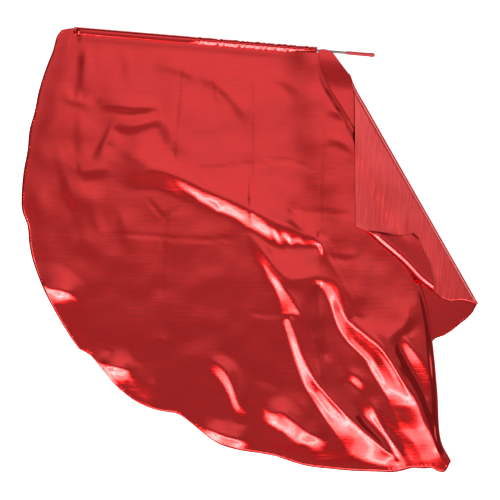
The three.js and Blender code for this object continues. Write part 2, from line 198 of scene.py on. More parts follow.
FOLDS["crinkled end of the diagonal"] = [
    [(276, 248, 2), (284, 247, 4), (290, 248, 3), (296, 245, 4.5), (302, 247, 3.5), (310, 248, 3.5),
     (319, 247, 4)],
    [(270, 226, 18), (273, 235, 9.2), (276, 244, 3.5)],
    [(276, 229, 17), (281, 238, 11.4), (286, 246, 3)],
    [(283, 232, 16), (285, 239, 7.6), (288, 246, 3)],
    [(290, 235, 14), (293, 241, 9.4), (297, 245, 3.5)],
    [(297, 238, 12), (299, 242, 6.4), (301, 246, 3.5)],
    [(304, 240, 10), (306, 243, 7.8), (308, 247, 4)],
]
FOLDS["plain patch"] = [
    [(247, 231, 2), (256, 240, 3.4), (263, 250, 6.4), (270, 260, 10), (277, 270, 13), (284, 277, 16),
     (291, 280, 17), (302, 279, 16), (310, 277.5, 15), (317, 277, 14)],
    [(261, 240, 2), (276, 251, 3), (290, 252, 4), (318, 250, 5)],
]
FOLDS["first long ridge"] = [
    [(259, 256, 3.4), (265, 263, 6), (271, 270, 9), (279, 280, 12.5), (286, 290, 14), (293, 298, 15),
     (300, 311, 15), (310, 327, 13), (315, 345, 13), (317, 362, 14), (320, 377, 18)],
    [(259, 258, 3), (263, 267, 3), (266, 276, 3), (272, 286, 3), (277, 297, 2.5), (279, 306, 2),
     (279, 315, 1.5)],
    [(245, 236, 1), (250, 250, 1), (257, 262, 1), (261, 275, 1), (266, 290, 1), (271, 302, 1), (277, 315, 1),
     (285, 333, 1), (290.5, 350, 1), (298, 373, 1), (307, 393, 1), (319, 411, 1), (331, 430, 1), (342, 446, 1),
     (352, 457, 1), (372, 463, 1), (386, 467, 1)],
    [(281, 314, 1.5), (291, 314.5, 7), (302, 315, 15)],
    [(289.5, 318, 10), (296, 333, 11), (300.5, 349, 11.5), (306, 361, 13), (312, 373, 16), (316, 381, 19),
     (323, 389.5, 19.5), (335, 403, 21.5), (350, 417, 22.5), (362, 428, 22.5), (374, 438, 19.5),
     (386, 449, 13.5), (398, 462, 6)],
    [(311.5, 392, 4.5), (321, 407, 5), (331, 421, 5.5)],
    [(319, 391, 13), (330, 404, 14), (340, 416, 14.5)],
]
FOLDS["valley"] = [
    [(345, 371, 4.5), (353, 373.5, 9), (361, 379.5, 8.5), (366, 387, 5)],
    [(345, 381, 4), (352, 384.5, 2.5), (359, 391, 3)],
    [(313, 343, 12), (320, 347, 9), (325, 355, 5)],
    [(318, 292, 5), (325, 312, 4), (334, 335, 4), (341, 360, 5), (348, 386, 6), (357, 402, 6), (364, 421, 6.5),
     (376, 435, 6.5), (387, 449, 6), (394, 459, 3)],
]
FOLDS["second long ridge"] = [
    [(320, 279, 14), (333, 281, 15), (338, 287, 15.5), (343, 300, 15.8), (349, 312, 17.1), (358, 324, 19.4),
     (368, 333, 24.2), (379, 342, 28.8), (387, 349, 31.5)],
    [(320, 281, 12), (331, 284, 13.5), (335, 290, 13.4), (339.5, 303, 13.8), (345.5, 315, 15.6),
     (353, 325, 18.4), (363, 334, 22.6), (375.5, 344, 26.8), (385.5, 354, 31.5), (394, 366, 33),
     (401.5, 379, 32), (409.5, 391, 29), (417.5, 402, 27), (424, 419, 24), (430, 432, 19), (437, 449, 10)],
    [(318, 284, 7), (322.5, 292, 5), (328, 302, 3), (332, 313, 2), (338, 330, 1.5), (346.5, 341, 1),
     (357, 351, 1), (366, 361, 1), (370, 372, 1), (377, 382, 1.5), (383, 392, 2), (388, 402, 4)],
    [(350.5, 340, 5.5), (361, 349, 6), (371.5, 359, 6.5), (377, 371, 6.5), (384, 383, 7)],
    [(355, 331, 15.5), (366, 341, 18.5), (377, 350, 21.5), (386, 361, 25), (393, 373, 25.5), (400, 386, 23.5)],
]
FOLDS["foot of the second ridge"] = [
    [(358, 404, 6), (365, 403.8, 7), (372, 403, 9)],
    [(387, 404, 4), (393, 415, 4), (398, 426, 4)],
    [(386, 428, 4), (398, 431, 4), (408, 438, 4), (416, 450, 3), (422, 462, 2)],
]
FOLDS["thin ridge"] = [
    [(373.5, 405, 11), (376.5, 414, 11.5), (381, 424, 11), (388, 434, 10), (395, 445, 9), (400, 456, 7),
     (404, 467, 3)],
    [(360, 408, 4), (363, 418, 4), (374, 424, 6.5), (383.5, 435, 6), (391, 448, 5), (396.5, 460, 2)],
    [(382, 417, 7), (388, 428, 4), (397, 438, 3.5), (405, 451, 2.5), (412, 465, 1)],
]
FOLDS["right-hand plateau"] = [
    [(292, 214, 9), (297, 225, 11), (308, 235, 12), (319, 243, 12), (327, 256, 12), (335, 270, 13),
     (345, 288, 15), (354, 302, 16)],
    [(298, 211, 7), (303, 222, 9), (312, 231, 9.5), (324, 240, 9.5), (332, 253, 9.5), (340, 267, 10.5),
     (350, 285, 12.5), (359, 299, 14)],
    [(387, 349, 28), (389, 340, 24), (396, 332, 20), (404, 326, 18), (409, 315, 15)],
    [(392, 352, 24), (396, 342, 17), (402, 337, 13), (410, 331, 10), (416, 320, 9)],
    [(396, 356, 24), (405, 371, 23), (418, 393, 22), (428, 414, 17), (437, 437, 9)],
    [(403, 362, 15), (412, 378, 13), (424, 400, 11), (434, 424, 8)],
]
FOLDS["right-hand strip"] = [
    [(401, 334, 13), (406, 340, 18), (415, 351, 20), (424, 363, 18), (430, 381, 13), (434, 400, 7)],
    [(398, 344, 12), (405, 358, 8), (415, 377, 6.5), (425, 397, 4.5)],
]
FOLDS["low swell"] = [
    [(262, 411, 2), (270, 413, 9), (281, 411.5, 14), (291, 418, 15), (301, 426, 15), (313, 435, 13),
     (326, 441, 3)],
    [(267, 424, 1), (281, 431, 1), (292, 441, 1), (304, 444, 1), (316, 451, 1), (328, 446, 1)],
    [(283, 412, 14.4), (279, 420, 8.6), (280, 430, 1.5)],
    [(301, 426, 15), (297, 433, 8.6), (299, 443, 1.5)],
    [(262, 394, 1.5), (287, 397, 4), (310, 413, 7), (327, 434, 4)],
]
FOLDS["curved strip"] = [
    [(209, 361, 1.5), (219, 363.5, 7), (226, 370, 9.5), (232, 381, 10), (236.5, 394, 9), (241, 406, 7.5),
     (250, 415, 3)],
    [(207, 370, 0.5), (217, 379, 0.5), (224, 389, 0.5), (229, 400, 0.5), (233, 412, 0.5), (236, 423, 0.5),
     (245, 424, 0.5)],
    [(222, 352, 1), (240, 366, 1.5), (246, 384, 2), (252, 400, 1)],
]
FOLDS["hem swells"] = [
    [(38, 284, 6), (46, 287, 11), (56, 289, 12.5), (66, 291, 12), (72, 293, 6), (84, 302, 1)],
    [(50, 305, 0.5), (60, 304, 0.5), (68, 301, 0.5), (74, 300, 0.5)],
    [(40, 262, 0.5), (60, 264, 0.5), (90, 286, 1)],
    [(98, 366, 8), (108, 365, 15), (118, 366, 16), (127, 369, 11), (134, 371, 2)],
    [(104, 382, 0.5), (112, 386, 0.5), (122, 386, 0.5), (130, 380, 0.5)],
    [(100, 326, 0.5), (120, 340, 1), (140, 364, 1)],
    [(204, 428, 6), (214, 431, 12), (226, 436, 13), (238, 439, 11), (248, 445, 3)],
    [(208, 446, 0.5), (224, 450, 0.5), (240, 454, 0.5)],
    [(186, 402, 0.5), (206, 408, 0.5), (222, 420, 1)],
    [(152, 383, 4), (151, 396, 3), (150, 410, 2)],
    [(157, 381, 1), (166, 392, 0.5), (180, 404, 0.5)],
    [(158, 341, 1), (164, 339.5, 2.4), (169, 341, 1)],
    [(158, 346, 0), (165, 345, 0), (170, 345, 0)],
    [(257, 373, 0.5), (265, 374, 2.2), (275, 381, 0.5)],
    [(257, 379, 0), (266, 381, 0), (274, 386, 0)],
]
FOLDS["upper arcs"] = [
    [(150, 62, 0.3), (163, 64, 2.6), (176, 67, 3), (190, 73, 2.4), (200, 79, 0.6)],
    [(152, 70, 0), (168, 73, 0), (182, 78, 0), (194, 84, 0)],
    [(192, 74, 0.5), (208, 80, 2.4), (222, 88, 3), (235, 100, 3), (244, 113, 2.4), (249, 124, 0.4)],
    [(196, 82, 0), (210, 89, 0), (221, 97, 0), (230, 107, 0), (237, 119, 0)],
    [(257, 74, 0.2), (272, 77, 1.6), (287, 82, 2), (297, 90, 1.6), (303, 100, 0.2)],
    [(258, 81, 0), (272, 84, 0), (283, 89, 0), (291, 98, 0)],
    [(84, 42, 0.3), (86, 54, 3.2), (85, 68, 3.2), (84, 84, 2.4), (82, 98, 0.6)],
    [(76, 44, 0), (77, 56, 0), (76, 70, 0), (74.5, 84, 0), (73, 98, 0)],
    [(94, 44, 0), (96, 56, 0.6), (95, 70, 0.6)],
    [(120, 44, 0.2), (128, 60, 1.6), (130, 74, 1.4), (127, 88, 0.2)],
    [(114, 50, 0), (120, 64, 0), (120, 78, 0)],
    [(262, 56, 0.2), (276, 60, 1.6), (288, 66, 0.2)],
    [(262, 62, 0), (275, 66, 0), (286, 72, 0)],
]
FOLDS["dents under the rod"] = [
    [(94, 101, 0.3), (103, 102.5, 2.8), (112, 104, 5), (130, 107, 6), (148, 108, 4), (162, 107, 0.4)],
    [(98, 111, 0), (116, 113, 0), (130, 115, 0), (157, 113.5, 0)],
    [(100, 92, 0), (116, 92, 0.5), (135, 95, 0.5), (155, 98, 0)],
    [(108, 120, 0.3), (119, 124, 3), (129, 126, 5.4), (145, 122, 5.6), (158, 118, 4.6), (165, 117, 1.8)],
    [(115, 130, 0), (128, 136, 0), (145, 131, 0), (158, 127, 0)],
    [(164, 118, 2), (169, 130, 3.4), (173, 140, 3), (174, 148, 1.6), (173, 156, 0.2)],
    [(156, 128, 0), (160, 136, 0), (164, 146, 0)],
    [(120, 117, 1.2), (111, 132, 3.6), (104, 149, 4), (100, 158, 3.6)],
    [(112, 116, 0.2), (103, 131, 0), (95, 147, 0), (91, 156, 0)],
    [(60, 94, 0.2), (68, 97, 3), (79, 100, 4), (86, 102, 3.6), (95, 102, 0.6)],
    [(62, 104, 0), (76, 109, 0), (85, 114, 0), (96, 112, 0)],
    [(80, 108, 0.2), (81, 130, 1.5), (81.5, 146, 1.5), (82, 158, 0.8)],
    [(74, 110, 0), (73, 140, 0), (74, 152, 0)],
    [(211, 82, 0.2), (216, 92, 1.4), (221, 104, 0.2)],
    [(208, 88, 0), (212, 97, 0), (217, 106, 0)],
]
FOLDS["left-hand slants"] = [
    [(54, 140, 0.3), (60, 156, 1.2), (65, 172, 1.7), (71, 190, 1.7), (78, 208, 1.7), (84, 226, 1.6),
     (89, 244, 1.1), (94, 262, 0.3)],
    [(47, 142, 0), (52, 158, 0), (57, 175, 0), (62, 192, 0), (69, 210, 0), (75, 228, 0), (80, 246, 0),
     (86, 262, 0)],
    [(68, 140, 0.3), (74, 160, 1.2), (84, 200, 2.4), (98, 236, 1.8)],
    [(68, 166, 1.4), (76, 169, 3.6), (86, 170.5, 5), (96, 169, 4.6), (104, 169, 3.4), (113, 168, 0.6)],
    [(74, 181, 1.6), (84, 182, 1), (95, 179, 0.6), (104, 179, 0.3), (112, 178, 0)],
    [(93, 184, 0.8), (93, 200, 3.4), (94, 216, 3.4), (98, 228, 2.6), (104, 238, 0.4)],
    [(107, 182, 0), (104, 200, 0), (104, 216, 0), (108, 228, 0), (113, 238, 0)],
    [(46, 168, 0.2), (44, 186, 0.6), (42, 204, 0.6), (40, 222, 0.2)],
    [(38, 168, 0), (35, 186, 0), (33, 204, 0), (32, 222, 0)],
    [(118, 206, 0.3), (124, 222, 2.2), (128, 240, 2), (130, 256, 0.3)],
    [(112, 210, 0), (116, 226, 0), (119, 242, 0)],
    [(80, 352, 1), (96, 350, 2.4), (110, 352, 1)],
    [(82, 341, 0), (98, 340, 0), (114, 345, 0)],
]
FOLDS["marks beside the pleat"] = [
    [(336, 92, 0.3), (346, 132, 3.2), (352, 164, 0.3)],
    [(322, 109, 0.3), (338, 112, 4.0), (354, 119, 0.5)],
    [(325, 117, 0), (340, 121, 0), (352, 127, 0)],
    [(323, 136, 0.3), (340, 141, 4.6), (355, 149, 0.5)],
    [(328, 146, 0), (342, 150, 0), (354, 157, 0)],
    [(318, 236, 4), (328, 236, 7), (334, 244, 7)],
    [(330, 253, 9), (342, 255, 9), (354, 255, 8)],
    [(332, 259, 8), (342, 260, 7.6), (354, 260, 7.2)],
    [(343, 312, 14.5), (354, 312.5, 14.6), (364, 315, 13.6)],
    [(346, 317, 13.2), (354, 317.5, 12.8), (362, 319, 13)],
    [(290, 207, 5), (304, 207, 5.4)],
    [(292, 211, 4), (304, 211, 4)],
]
print("fold lines", sum(map(len, FOLDS.values())))


# %% A taut skin over the fold lines
SETTLE = 24  # plan units over which the skin comes back to the flat
RISE = 0.00064  # metres of rise for each unit of height in the table
HOLD = 24  # how hard a line holds the skin, against a pull of 1 from each neighbour
STAGES = ((4, 400), (2, 300), (1, 260))  # cell in plan units, then rounds of settling
SOFTEN = 0.85  # cells


def held_lines(step):
    """Each line's heights shared out to the four nearest cells: sums of the weight and of weight·height."""
    cells = int(SIDE / step) + 1
    weight, total = np.zeros((cells, cells)), np.zeros((cells, cells))
    for line in (np.array(line, float) for lines in FOLDS.values() for line in lines):
        p = smooth(line, 4 * int(np.ptp(line, axis=0)[:2].sum() + 4))
        g = np.clip(p[:, :2] / step, 0, cells - 1.001)
        i, f = g.astype(int), g - g.astype(int)
        for a, b in ((0, 0), (0, 1), (1, 0), (1, 1)):
            w = np.abs(1 - a - f[:, 0]) * np.abs(1 - b - f[:, 1]) * step / 2
            np.add.at(weight, (i[:, 1] + b, i[:, 0] + a), w)
            np.add.at(total, (i[:, 1] + b, i[:, 0] + a), w * p[:, 2])
    return weight, total


def taut_skin():
    """z = (sum of the 4 neighbours + k·held height) / (4 + (step / SETTLE)² + k), from coarse to fine."""
    z = None
    for step, rounds in STAGES:
        weight, total = held_lines(step)
        if z is None:
            z = np.zeros_like(weight)
        else:
            z = np.repeat(np.repeat(z, 2, 0), 2, 1)[:len(weight), :len(weight)]
        hold = HOLD / step
        below = 4 + (step / SETTLE) ** 2 + hold * weight
        for _ in range(rounds):
            q = np.pad(z, 1)
            z = (q[:-2, 1:-1] + q[2:, 1:-1] + q[1:-1, :-2] + q[1:-1, 2:] + hold * total) / below
    return z


def blur(z, spread):
    """Along each axis: Σ w(r)·(z moved by r cells), where w = exp(−r²/2·spread²) and Σ w = 1."""
    reach = np.arange(-int(3 * spread + 1), int(3 * spread + 2))
    w = np.exp(-0.5 * (reach / spread) ** 2)
    for axis in (0, 1):
        z = sum(np.roll(z, r, axis) * k for r, k in zip(reach, w / w.sum()))
    return z


SKIN = blur(taut_skin(), SOFTEN)
print("taut skin", SKIN.shape, "highest fold", (SKIN.max() * RISE * 1000).round(1), "mm")


def fold_heights(p):
    """The skin at any place, by a cubic B-spline over its 16 nearest cells, in metres."""
    x = np.clip((p[..., 0] - SHIFT[0]) / UNIT + SIDE / 2, 2, SIDE - 3)
    y = np.clip(SIDE / 2 - (p[..., 1] - SHIFT[1]) / UNIT, 2, SIDE - 3)
    i, j = x.astype(int), y.astype(int)

    def weights(t):
        """(1 − t)³/6, (3t³ − 6t² + 4)/6, (−3t³ + 3t² + 3t + 1)/6 and t³/6"""
        return ((1 - t) ** 3 / 6, (3 * t**3 - 6 * t**2 + 4) / 6,
                (-3 * t**3 + 3 * t**2 + 3 * t + 1) / 6, t**3 / 6)

    z = 0
    for a, wx in enumerate(weights(x - i)):
        for b, wy in enumerate(weights(y - j)):
            z = z + wx * wy * SKIN[j + b - 1, i + a - 1]
    return z * RISE


# %% [markdown]
# Between the big folds the cloth is never quite flat. A few dozen long, low waves in fixed but
# uneven directions stand for that, and a grid of faint creases stays from how it was packed.

# %% Low waves and packing creases
rng = np.random.default_rng(7)
WAVE_COUNT = 46
SHORTEST, LONGEST = 0.05, 0.19  # metres
WAVE_SHARE = 0.0008  # a wave's height for each metre of its length
WAVES = [(rng.uniform(SHORTEST, LONGEST), rng.uniform(0, pi), rng.uniform(0, 2 * pi))
         for _ in range(WAVE_COUNT)]


def waves(p):
    """z = Σ WAVE_SHARE·length·sin(2π/length·(x·cos(turn) + y·sin(turn)) + phase), alike in slope."""
    z = np.zeros(p.shape[:-1])
    for length, turn, phase in WAVES:
        along = p[..., 0] * np.cos(turn) + p[..., 1] * np.sin(turn)
        z = z + WAVE_SHARE * length * np.sin(2 * pi / length * along + phase)
    return z


CREASES = [  # places on the plan, then the depth in millimetres and how far the dip reaches in plan units
    ([(323, 82), (321.5, 140), (320, 200), (318.6, 330)], 0.6, 2.6),
    ([(252, 70), (251, 150), (250.6, 214), (250, 230)], 0.9, 2.8),
    ([(182, 60), (176, 120), (172, 166)], 0.8, 2.8),
    ([(170, 196), (166, 222), (160, 300)], 0.7, 2.8),
    ([(176, 168), (214, 169), (250, 165), (282, 161), (318, 170)], 0.8, 2.6),
    ([(292, 214), (320, 213), (356, 216)], 0.9, 2.6),
    ([(110, 234), (150, 236), (200, 240), (240, 238)], 0.8, 2.6),
    ([(248, 313), (276, 315), (305, 314)], 0.8, 2.6),
    ([(334, 405), (380, 406), (416, 405)], 0.5, 2.6),
    ([(148, 200), (164, 219)], 0.9, 2.6),
    ([(182, 207), (164, 219), (160, 250)], 0.9, 2.6),
    ([(322, 255), (340, 258), (362, 259)], 0.5, 2.4),
]


def creases(p):
    """−depth·(1 − ease(distance / reach)) for each line, fading over an eighth of it at both ends."""
    z = np.zeros(p.shape[:-1])
    for line, depth, reach in CREASES:
        d, share = nearest(p, smooth(plan(line), 20))
        fade = ease(np.minimum(share, 1 - share) * 8)
        z = z - depth * 0.001 * (1 - ease(np.abs(d) / (reach * UNIT))) * fade
    return z


print("waves", len(WAVES), "creases", len(CREASES))

# %% [markdown]
# ## Levels of the layers
#
# From the floor up there is the low layer, the tucked layer of the pleat, the open cloth over it,
# the turned side, and the turned-up corner. Each is a soft surface that clears the one below.

# %% How high each layer lies, all in metres
LOW = 0.0006  # the middle of the lowest cloth
THICKNESS = 0.0005
PLEAT_START, PLEAT_RADIUS = 0.0012, 0.0022
TURN_RADIUS = 0.0025
CORNER_RADIUS = 0.0045
OVER_ROD = 0.0100
OVER_OPEN = 0.0180
# one over the share of the sheet's depth in which each of these grows, from nothing at the straight edge
LOOSE_RATE, FOLD_RATE, PLEAT_RATE, CORNER_RATE, ROLL_RATE = 14, 12, 8, 6, 20
# each rise below is given as where it starts or is whole, and how long it takes
ROD_FROM, ROD_RUN = 0.100, 0.090  # over the rod, measured from its line
PLEAT_FROM, PLEAT_RUN = 0.009, 0.120  # up on to the pleat
SEAM_FROM, SEAM_RUN, SEAM_UP = 0.011, 0.024, 0.0018  # up to the seam of the pocket
FOLD_FROM, FOLD_RUN = 0.002, 0.016  # folds, beside the pleat fold
CROSS_FROM, CROSS_RUN = 0.03, 0.14  # over the rod again, in x, where the low layer carries the open cloth
LOOSE, LOOSE_RUN = 0.0016, 0.060  # what the open cloth is off the floor, away from its hem
PUCKER, PUCKER_IN, PUCKER_OUT = 0.0009, 0.010, 0.016  # waves of the hem, and where they swell and end
PUCKER_MEAN = 0.35
PUCKER_WAVES = ((131, 0.35, 0), (83, 0.3, 1))  # how many go along the hem, share of the height, phase
DROP_RUN = 0.006  # the turned side's quick rise from its own fold
FALL, FALL_RUN = 0.004, 0.110  # its slow fall from there
BAND, BAND_AT, BAND_WIDTH = 0.0021, 0.066, 0.030  # a low swell along it
BAND_FROM, BAND_RUN = -0.02, 0.10  # in y, where the swell starts


def out_from_rod(p):
    """Distance from the rod's line towards the far side."""
    return (p - ROD_TIP) @ AWAY


def low_layer(p):
    """z = LOW + (OVER_ROD − LOW)·ease((ROD_FROM − |distance from the rod|) / ROD_RUN)"""
    return LOW + (OVER_ROD - LOW) * ease((ROD_FROM - np.abs(out_from_rod(p))) / ROD_RUN)


UNDER_PLEAT = plan([(317, 54), (395, 400), (446, 466)])


def pleat_radius(v):
    """Radius of the pleat's round folds at a share v of its length: tight at its start."""
    return PLEAT_START + (PLEAT_RADIUS - PLEAT_START) * ease(v * PLEAT_RATE)


def whole_hem(every):
    """The left and the bottom hem as one run, with only some of the points on their curves."""
    return np.vstack([EDGE["left hem"][::every], EDGE["bottom hem"][::every]])


def open_layer(p, v):
    """z = LOW + rise at the seam + rise on to the pleat + the loose cloth and its folds, never below 0."""
    over_pleat = ease(1 + (nearest(p, UNDER_PLEAT)[0] + PLEAT_FROM) / PLEAT_RUN)
    at_seam = ease(1 - (-SEAM_FROM - out_from_rod(p)) / SEAM_RUN) * (p[..., 0] > ROD_TIP[0])
    beside_fold = ease((-nearest(p, EDGE["pleat fold"][::10])[0] - FOLD_FROM) / FOLD_RUN)
    from_hem, share = nearest(p, whole_hem(8))
    from_hem = np.abs(from_hem)
    pucker = sum((w * np.sin(2 * pi * n * share + f) for n, w, f in PUCKER_WAVES), PUCKER_MEAN)
    near_hem = (1 - ease(from_hem / PUCKER_OUT)) * ease(from_hem / PUCKER_IN)
    loose = (LOOSE + waves(p) + creases(p)) * ease(from_hem / LOOSE_RUN) * ease(v * LOOSE_RATE)
    loose = loose + PUCKER * np.maximum(pucker, 0) * near_hem * ease(v * LOOSE_RATE)
    folds = fold_heights(p) * beside_fold * ease(v * FOLD_RATE)
    lift = 4 * pleat_radius(v) + (low_layer(p) - LOW) * ease((p[..., 0] - CROSS_FROM) / CROSS_RUN)
    calm = 1 - over_pleat * (1 - beside_fold)
    return LOW + SEAM_UP * at_seam * (1 - over_pleat) + over_pleat * lift + np.maximum(loose * calm + folds, 0)


def turned_layer(p):
    """z = LOW + 2r + (OVER_OPEN − 2r + fall + band)·drop: taut, and steep only right at its own fold."""
    inside = -nearest(p, EDGE["turned side"][::10])[0] - TURN_RADIUS
    drop = ease(inside / DROP_RUN)
    fall = FALL * (1 - ease((inside - DROP_RUN) / FALL_RUN))
    band = np.exp(-((inside - BAND_AT) / BAND_WIDTH) ** 2) * ease((p[..., 1] - BAND_FROM) / BAND_RUN)
    return LOW + 2 * TURN_RADIUS + (OVER_OPEN - 2 * TURN_RADIUS + fall + BAND * band) * drop


print("levels from", LOW, "to", OVER_OPEN, "m")

# %% [markdown]
# ## One grid through all the folds
#
# Columns of points run from the straight edge to the hem. Between four edges a Coons patch fills
# the plan: it blends the two side edges, adds the blend of the top and bottom, and takes away the
# corners, which were counted twice. Where the cloth turns back, a few columns go round half a circle.

# %% Patches and round folds
def shares(count, at, sizes):
    """Running shares of a whole cut into so many steps, each as long as the size at its place says."""
    steps = np.interp(np.linspace(0, 1, count), at, sizes)
    return np.cumsum(steps) / steps.sum()


FIRST_ROWS = [0, 0.0015, 0.004, 0.008, 0.013, 0.019, 0.026, 0.034]
THEN = FIRST_ROWS[-1]
ROWS = np.r_[FIRST_ROWS, THEN + (1 - THEN) * shares(148, [0, 0.4, 0.7, 1], [1.25, 1.0, 0.78, 0.85])]


def coons(top, bottom, left, right, u):
    """Places inside four edges: left(v)(1−u) + right(v)u + top(u)(1−v) + bottom(u)v − the corners."""
    v = ROWS[None, :, None]
    u = np.asarray(u)[:, None, None]
    t, b = resample(top, u[:, 0, 0])[:, None], resample(bottom, u[:, 0, 0])[:, None]
    corners = (top[0] * (1 - u) + top[-1] * u) * (1 - v) + (bottom[0] * (1 - u) + bottom[-1] * u) * v
    return left[None] * (1 - u) + right[None] * u + t * (1 - v) + b * v - corners


def across(line):
    """Unit vectors to the left of a line of points that runs down the sheet, seen from above."""
    d = np.gradient(line, axis=0)
    return np.stack([-d[:, 1], d[:, 0]], -1) / np.hypot(*d.T)[:, None]


def round_fold(name, radius, middle, side, turn, steps=8):
    """Half a circle round a fold line: inner + side·r·cos(a) across, and middle + r·sin(a) up."""
    line = resample(EDGE[name], ROWS)
    inner = line - side * across(line) * radius[:, None]
    a = turn * (pi / 2 - pi * np.arange(1, steps) / steps)[:, None]
    place = inner[None] + side * across(line)[None] * (radius * np.cos(a))[..., None]
    level = middle(inner)[None] + radius * np.sin(a)
    return inner, np.concatenate([place, level[..., None]], -1)


def with_level(place, level):
    """Places on the plan and their levels as points."""
    return np.concatenate([place, level[..., None]], -1)


CORNER_START = 0.45  # its radius where the corner's fold begins, as a share of the full one
pleat_r = pleat_radius(ROWS)
turn_r = np.full(len(ROWS), TURN_RADIUS)
corner_r = CORNER_RADIUS * (CORNER_START + (1 - CORNER_START) * ease(ROWS * CORNER_RATE))
r_inner, r_arc = round_fold("pleat fold", pleat_r, lambda p: low_layer(p) + 3 * pleat_r, 1, 1)
h_inner, h_arc = round_fold("pleat back", pleat_r, lambda p: low_layer(p) + pleat_r, -1, 1, 6)
o_inner, o_arc = round_fold("turned side", turn_r, lambda p: LOW + turn_r, 1, -1)
c_inner, c_arc = round_fold("corner fold", corner_r, lambda p: turned_layer(p) + corner_r, -1, -1)
print("rows", len(ROWS), "folds", r_arc.shape, h_arc.shape, o_arc.shape, c_arc.shape)

# %% Columns of every part, closer together where the folds are sharp
OPEN_U = np.r_[0, shares(196, [0, 0.35, 0.5, 0.9, 1], [1.5, 1.3, 0.95, 0.8, 0.8])]
LOW_U = np.linspace(0, 1, 15)
SIDE_U = np.r_[0, 0.012, 0.026, 0.045, 0.07, np.linspace(0.1, 1, 30)]
CORNER_U = np.r_[0, 0.04, 0.08, 0.13, 0.19, 0.26, np.linspace(0.34, 1, 10)]
CORNER_REST, REST_RUN = 0.0036, 0.050  # the corner's height over the side, and how far in it comes to rest
ROLL, ROLL_SHARE = 0.0046, 0.55  # height of its soft roll: a fixed part, and a share of its fold's radius
ROLL_TOP, ROLL_RUN = 0.016, 0.065  # where the roll is highest, and how far it takes to go down

open_plan = coons(EDGE["seam"], EDGE["bottom hem"], resample(EDGE["left hem"], ROWS), r_inner, OPEN_U)
open_part = with_level(open_plan, open_layer(open_plan, ROWS[None, :]))

low_plan = coons(EDGE["free edge"], EDGE["low hem"], h_inner, o_inner, LOW_U)
low_part = with_level(low_plan, low_layer(low_plan))

side_plan = coons(EDGE["top edge"], EDGE["top hem"], o_inner, c_inner, SIDE_U)
side_part = with_level(side_plan, turned_layer(side_plan))

corner_end = resample(EDGE["corner end"], ROWS)
corner_plan = coons(EDGE["corner straight"], EDGE["corner hem"], c_inner, corner_end, CORNER_U)
from_fold = np.abs(nearest(corner_plan, EDGE["corner fold"][::10])[0])
rest = 2 * corner_r[None] + (CORNER_REST - 2 * corner_r[None]) * ease(from_fold / REST_RUN)
roll = np.clip(from_fold / ROLL_TOP, 0, 1) * (1 - ease((from_fold - ROLL_TOP) / ROLL_RUN))
rest = rest + (ROLL + ROLL_SHARE * corner_r[None]) * roll * ease(ROWS[None] * ROLL_RATE)
corner_part = with_level(corner_plan, turned_layer(corner_plan) + rest)

tucked = [with_level(q, low_layer(q) + 2 * pleat_r)[None]
          for q in (r_inner, r_inner * 0.5 + h_inner * 0.5, h_inner)]
PARTS = [open_part, r_arc, *tucked, h_arc, low_part, o_arc, side_part, c_arc, corner_part]
sheet = np.concatenate(PARTS)
print("grid", sheet.shape, "levels", sheet[..., 2].min(), sheet[..., 2].max())

# %% [markdown]
# ## The rod pocket
#
# Past the first row, the columns between the pocket's two ends carry on round the rod and back
# under the sheet. At the rod's far end the pocket is plain. Nearer the grip the cloth is gathered
# on the rod, so its section swells and pinches.

# %% Section of the pocket, from the seam over the rod and back under it
BELOW = [(5.6, 8.2), (7.6, 6.2), (8.4, 4.0), (7.6, 1.9), (4, 0.7), (-2, 0.6), (-9, 0.6), (-15, 0.6)]
PLAIN = np.array([  # out from the rod's line, level, both in millimetres
    (-9.0, 4.2), (-9.6, 6.2), (-9.2, 8.0), (-8.9, 8.35), (-8.5, 8.5), (-6, 8.95), (-3, 9.45), (0, 10.0),
    (3, 9.5), *BELOW]) * 0.001
GATHERED = np.array([
    (-10.4, 5.0), (-9.9, 5.3), (-9.2, 5.7), (-8.4, 6.1), (-7, 6.7), (-5, 7.5), (-2.6, 8.6), (0, 9.5),
    (3, 9.4), *BELOW]) * 0.001
GATHER_FROM, GATHER_RUN = 0.26, 0.06  # metres along the rod
SWELL, GATHERED_SWELL, TALLER = 0.02, 0.12, 0.07  # how much wider and higher the gathers make it
PRESSED, PRESS_FROM, PRESS_RUN = 0.5, -0.015, 0.014  # its open end is pressed to half its height
SEWN_FROM, OPEN_REACH = 0.006, 0.009  # first stitch past the rod's tip, and the open end past that
SEWN_TO = 317  # plan units
first = int(np.argmax(open_plan[:, 0, 0] > ROD_TIP[0] - SEWN_FROM))
last = int(np.argmax(open_plan[:, 0, 0] > plan((SEWN_TO, 0))[0]))
station = (open_plan[first:last, 0] - ROD_TIP) @ ALONG
pinch = sum(w * np.sin(station * k + f) for k, w, f in
            ((210, 0.35, 0), (347, 0.4, 1.3), (463, 0.45, 4.1), (571, 0.4, 2.2), (95, 0.3, 2)))
station[0] -= OPEN_REACH
gather = ease((station - GATHER_FROM) / GATHER_RUN)
swell = 1 + (SWELL + GATHERED_SWELL * gather) * pinch
section = PLAIN + gather[:, None, None] * (GATHERED - PLAIN)
around = section[..., 0] * swell[:, None]
place = ROD_TIP + station[:, None, None] * ALONG + around[..., None] * AWAY
taller = PRESSED + (1 - PRESSED) * ease((station - PRESS_FROM) / PRESS_RUN)
taller = taller * (1 + TALLER * np.roll(pinch, 2) * gather)
pocket = with_level(place, LOW + (section[..., 1] - LOW) * taller[:, None])
print("pocket", pocket.shape, "highest", pocket[..., 2].max())

